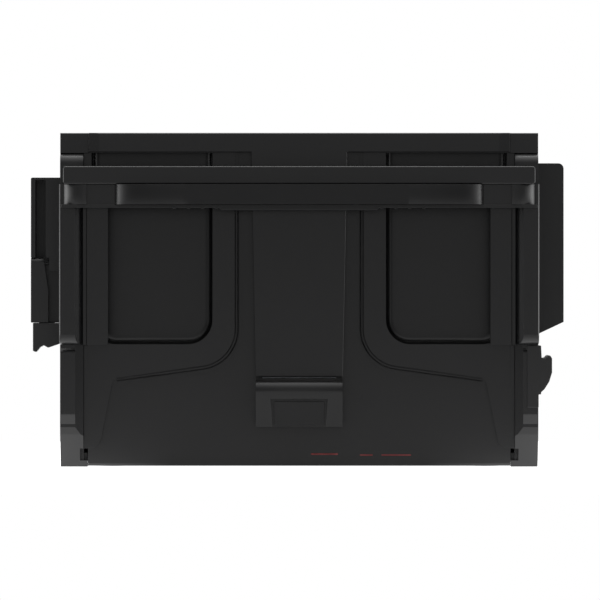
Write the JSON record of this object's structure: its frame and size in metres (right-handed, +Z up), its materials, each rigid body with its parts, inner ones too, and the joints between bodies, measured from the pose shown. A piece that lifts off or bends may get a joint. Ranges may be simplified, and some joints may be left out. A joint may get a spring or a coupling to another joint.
{
  "type": "trash compactor",
  "caption": "Low, wide powered trash compactor with a pull-out bin drawer, bowed handle bar, toe pedal, screw-driven ram and a side linking latch.",
  "frame": {"origin": "floor level, middle of the plan", "axes": "+X to the user's right, -Y to the front, +Z up"},
  "size_m": [0.675, 0.555, 0.418],
  "materials": {
    "cabinet_paint": "fine satin black powder coat",
    "front_plastic": "fine-grained moulded black",
    "handle_plastic": "satin moulded black",
    "grip_rubber": "soft-touch black",
    "pedal_plastic": "moulded black, scuffed at the edge",
    "housing_plastic": "moulded black",
    "zinc_steel": "zinc plated sheet",
    "bright_steel": "ground steel",
    "bronze": "machined bronze",
    "bearing_steel": "polished rings",
    "chain_steel": "oiled steel chain",
    "cast_case": "die cast",
    "motor_paint": "satin enamel",
    "bin_paint": "grey powder coat",
    "ram_paint": "grey enamel, worn face",
    "foot_rubber": "moulded",
    "box_plastic": "moulded",
    "filter_felt": "charcoal felt in a frame",
    "mark_red": "red inlay",
    "button_plastic": "glossy"
  },
  "bodies": {
    "cabinet": {"base_pan": "zinc_steel", "left_side_panel": "cabinet_paint", "right_side_panel": "cabinet_paint", "rear_panel": "cabinet_paint", "top_panel": "cabinet_paint", "left_front_post": "front_plastic", "right_front_post": "front_plastic", "corner_caps": "front_plastic", "left_side_frame": "zinc_steel", "right_side_frame": "zinc_steel", "feet": "foot_rubber", "panel_screws": "bright_steel", "screw_bearings": "bearing_steel", "drive_chain": "chain_steel", "drive_shelf": "zinc_steel", "gear_case": "cast_case", "drive_motor": "motor_paint", "control_box": "box_plastic", "power_inlet": "box_plastic", "position_switches": "box_plastic", "slide_outer_members": "zinc_steel", "latch_housing": "housing_plastic", "control_housing": "housing_plastic", "link_hook": "housing_plastic", "filter_cartridge": "filter_felt", "hatch_pin": "bright_steel"},
    "drawer": {"front_panel": "front_plastic", "left_recess_pan": "front_plastic", "right_recess_pan": "front_plastic", "spine_cover": "front_plastic", "handle_cap": "handle_plastic", "handle_plate": "handle_plastic", "handle_grip": "grip_rubber", "handle_lower_trim": "handle_plastic", "left_stile": "front_plastic", "right_stile": "front_plastic", "inner_liner": "zinc_steel", "waste_bin": "bin_paint", "bag_rim": "bin_paint", "slide_inner_members": "zinc_steel", "drawer_brackets": "zinc_steel", "pedal_bracket": "zinc_steel", "pedal_pin": "bright_steel", "pedal_spring": "bright_steel", "indicator_marks": "mark_red"},
    "rail_middle": {"slide_middle_members": "zinc_steel"},
    "ram": {"ram_plate": "ram_paint", "ram_tower": "ram_paint", "ram_beam": "ram_paint", "lift_nuts": "bronze"},
    "left_screw": {"left_power_screw": "bright_steel"},
    "right_screw": {"right_power_screw": "bright_steel"},
    "motor_shaft": {"motor_sprocket": "bright_steel"},
    "pedal": {"toe_pedal": "pedal_plastic", "pedal_pad": "grip_rubber"},
    "lever": {"latch_lever": "housing_plastic"},
    "pawl": {"lock_pawl": "housing_plastic"},
    "button": {"start_button": "button_plastic"},
    "key": {"key_switch": "button_plastic"},
    "hatch": {"filter_door": "cabinet_paint"}
  },
  "joints": [
    {"name": "drawer_slide", "type": "slide", "parent": "cabinet", "child": "drawer", "axis": [0, -1, 0], "range_m": [0, 0.305]},
    {"name": "rail_middle_slide", "type": "slide", "parent": "cabinet", "child": "rail_middle", "axis": [0, -1, 0], "range_m": [0, 0.1525]},
    {"name": "ram_slide", "type": "slide", "parent": "cabinet", "child": "ram", "axis": [0, 0, -1], "range_m": [0, 0.145]},
    {"name": "left_screw_spin", "type": "hinge", "parent": "cabinet", "child": "left_screw", "pos_m": [-0.275, 0.0175, 0.2], "axis": [0, 0, 1], "range_deg": [0, 4351]},
    {"name": "right_screw_spin", "type": "hinge", "parent": "cabinet", "child": "right_screw", "pos_m": [0.275, 0.0175, 0.2], "axis": [0, 0, 1], "range_deg": [0, 4351]},
    {"name": "motor_spin", "type": "hinge", "parent": "cabinet", "child": "motor_shaft", "pos_m": [0.15, 0.223, 0.03], "axis": [0, 0, 1], "range_deg": [0, 4351]},
    {"name": "pedal_hinge", "type": "hinge", "parent": "drawer", "child": "pedal", "pos_m": [0, -0.202, 0.098], "axis": [1, 0, 0], "range_deg": [0, 8], "stiffness_Nm_per_rad": 3, "springref_deg": -2.86},
    {"name": "pawl_slide", "type": "slide", "parent": "cabinet", "child": "pawl", "axis": [0, 0, -1], "range_m": [0, 0.007]},
    {"name": "lever_hinge", "type": "hinge", "parent": "cabinet", "child": "lever", "pos_m": [-0.32, -0.1455, 0.2565], "axis": [-1, 0, 0], "range_deg": [0, 30]},
    {"name": "start_button_press", "type": "slide", "parent": "cabinet", "child": "button", "axis": [0, 0, -1], "range_m": [0, 0.0025], "stiffness_N_per_m": 400, "springref_m": -0.001},
    {"name": "key_turn", "type": "hinge", "parent": "cabinet", "child": "key", "pos_m": [0.317, 0.1, 0.375], "axis": [0, 0, -1], "range_deg": [0, 90]},
    {"name": "hatch_hinge", "type": "hinge", "parent": "cabinet", "child": "hatch", "pos_m": [0, 0.2575, 0.415], "axis": [-1, 0, 0], "range_deg": [0, 95]}
  ],
  "couplings": [
    {"joint": "rail_middle_slide", "follows": "drawer_slide", "ratio": 0.5},
    {"joint": "left_screw_spin", "follows": "ram_slide", "rad_per_m": 523.6},
    {"joint": "right_screw_spin", "follows": "ram_slide", "rad_per_m": 523.6},
    {"joint": "motor_spin", "follows": "ram_slide", "rad_per_m": 523.6},
    {"joint": "lever_hinge", "follows": "pawl_slide", "rad_per_m": 74.5}
  ]
}
